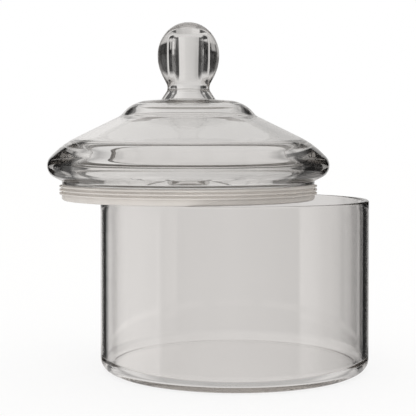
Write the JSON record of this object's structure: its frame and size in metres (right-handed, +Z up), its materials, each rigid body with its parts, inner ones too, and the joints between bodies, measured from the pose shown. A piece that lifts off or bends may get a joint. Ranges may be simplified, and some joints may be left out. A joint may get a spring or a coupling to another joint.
{
  "type": "glass storage jar with lid",
  "caption": "Round clear glass storage jar, open and empty, with its stepped glass lid and knob set ajar on the rim and a clear finned seal round the lid's collar.",
  "frame": {"origin": "centre of the jar's flat base, on the jar's axis, on the plane that the jar rests on", "axes": "+Z up along the jar's axis; the lid is set over towards -X, so +X points to the open side of the mouth; +Y points away from the front"},
  "size_m": [0.1914, 0.1678, 0.2062],
  "materials": {
    "jar_glass": "clear, faintly warm grey soda-lime glass, polished",
    "lid_glass": "clear, faintly warm grey pressed glass, polished",
    "seal_silicone": "translucent frosted silicone"
  },
  "bodies": {
    "root": {"jar": "jar_glass", "lid": "lid_glass", "seal": "seal_silicone"}
  },
  "joints": []
}
